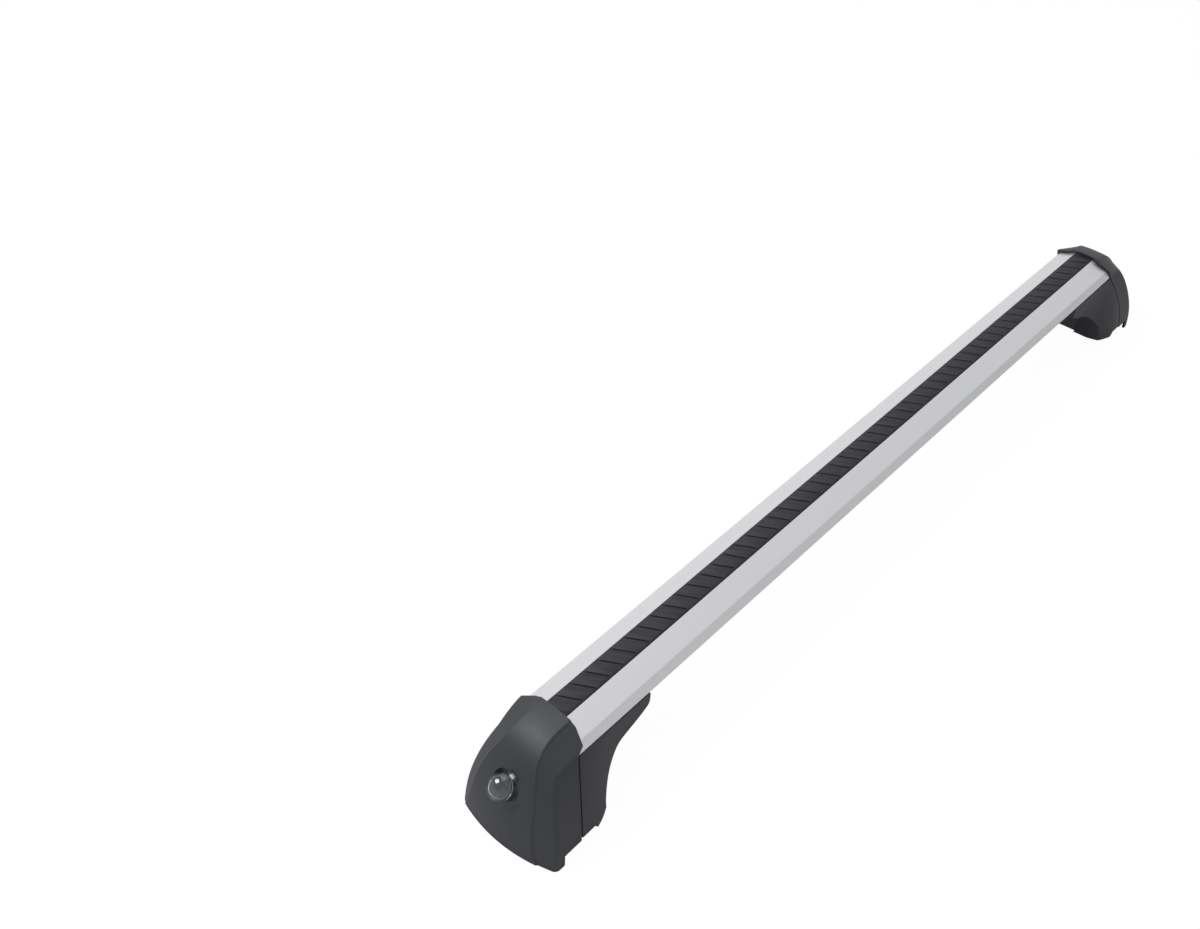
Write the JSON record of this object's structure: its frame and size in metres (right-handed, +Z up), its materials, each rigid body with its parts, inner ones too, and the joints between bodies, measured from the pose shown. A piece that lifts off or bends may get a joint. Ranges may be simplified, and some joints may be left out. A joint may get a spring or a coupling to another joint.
{
  "type": "roof rack crossbar",
  "caption": "Flush roof rack crossbar: a wide flat aluminium bar with a grooved rubber strip, carried by flared feet with lockable end covers that hide clamps for the side rails.",
  "frame": {"origin": "middle of the surface that the end covers stand on, halfway between the feet", "axes": "+X along the bar, +Z up, +Y across the bar towards its back"},
  "size_m": [1.0684, 0.1076, 0.1075],
  "materials": {
    "aluminium": "satin anodised",
    "strip_rubber": "matt with fine streaks",
    "cover_plastic": "fine moulded grain",
    "clear_plastic": "clear",
    "cast_metal": "cast and black coated",
    "zinc_steel": "zinc plated",
    "pad_rubber": "matt"
  },
  "bodies": {
    "rack": {"bar": "aluminium", "slot_strip": "strip_rubber", "foot_housing_left": "cover_plastic", "foot_bracket_left": "cast_metal", "base_pad_left": "pad_rubber", "nut_plate_left": "zinc_steel", "bar_bolts_left": "zinc_steel", "housing_screws_left": "zinc_steel", "clamp_washer_left": "zinc_steel", "foot_housing_right": "cover_plastic", "foot_bracket_right": "cast_metal", "base_pad_right": "pad_rubber", "nut_plate_right": "zinc_steel", "bar_bolts_right": "zinc_steel", "housing_screws_right": "zinc_steel", "clamp_washer_right": "zinc_steel"},
    "cover_left": {"end_cover_left": "cover_plastic", "cap_pin_left": "zinc_steel"},
    "lock_left": {"lock_barrel_left": "zinc_steel", "lock_clip_left": "zinc_steel", "lock_cam_left": "zinc_steel", "cam_screw_left": "zinc_steel"},
    "cap_left": {"dust_cap_left": "clear_plastic"},
    "bolt_left": {"clamp_bolt_left": "zinc_steel", "bolt_clip_left": "zinc_steel"},
    "jaw_left": {"clamp_jaw_left": "cast_metal", "jaw_cap_left": "cover_plastic", "jaw_nut_left": "zinc_steel"},
    "cover_right": {"end_cover_right": "cover_plastic", "cap_pin_right": "zinc_steel"},
    "lock_right": {"lock_barrel_right": "zinc_steel", "lock_clip_right": "zinc_steel", "lock_cam_right": "zinc_steel", "cam_screw_right": "zinc_steel"},
    "cap_right": {"dust_cap_right": "clear_plastic"},
    "bolt_right": {"clamp_bolt_right": "zinc_steel", "bolt_clip_right": "zinc_steel"},
    "jaw_right": {"clamp_jaw_right": "cast_metal", "jaw_cap_right": "cover_plastic", "jaw_nut_right": "zinc_steel"}
  },
  "joints": [
    {"name": "cover_slide_left", "type": "slide", "parent": "rack", "child": "cover_left", "axis": [-1, 0, 0], "range_m": [0, 0.045]},
    {"name": "lock_turn_left", "type": "hinge", "parent": "cover_left", "child": "lock_left", "pos_m": [-0.51751, 0.00575, 0.06274], "axis": [-0.9659, 0, 0.2588], "range_deg": [0, 90]},
    {"name": "cap_hinge_left", "type": "hinge", "parent": "cover_left", "child": "cap_left", "pos_m": [-0.51367, 0.00117, 0.07475], "axis": [0.0885, 0.9397, 0.3304], "range_deg": [-42, 65]},
    {"name": "bolt_turn_left", "type": "hinge", "parent": "rack", "child": "bolt_left", "pos_m": [-0.503, 0.00575, 0.034], "axis": [-0.9659, 0, 0.2588], "range_deg": [0, 6336]},
    {"name": "jaw_slide_left", "type": "slide", "parent": "rack", "child": "jaw_left", "axis": [0.9659, 0, -0.2588], "range_m": [0, 0.022]},
    {"name": "cover_slide_right", "type": "slide", "parent": "rack", "child": "cover_right", "axis": [1, 0, 0], "range_m": [0, 0.045]},
    {"name": "lock_turn_right", "type": "hinge", "parent": "cover_right", "child": "lock_right", "pos_m": [0.51751, 0.00575, 0.06274], "axis": [-0.9659, 0, -0.2588], "range_deg": [0, 90]},
    {"name": "cap_hinge_right", "type": "hinge", "parent": "cover_right", "child": "cap_right", "pos_m": [0.51367, 0.00117, 0.07475], "axis": [0.0885, -0.9397, -0.3304], "range_deg": [-42, 65]},
    {"name": "bolt_turn_right", "type": "hinge", "parent": "rack", "child": "bolt_right", "pos_m": [0.503, 0.00575, 0.034], "axis": [0.9659, 0, 0.2588], "range_deg": [0, 6336]},
    {"name": "jaw_slide_right", "type": "slide", "parent": "rack", "child": "jaw_right", "axis": [-0.9659, 0, -0.2588], "range_m": [0, 0.022]}
  ],
  "couplings": [
    {"joint": "bolt_turn_left", "follows": "jaw_slide_left", "rad_per_m": 5026.5},
    {"joint": "bolt_turn_right", "follows": "jaw_slide_right", "rad_per_m": 5026.5}
  ]
}
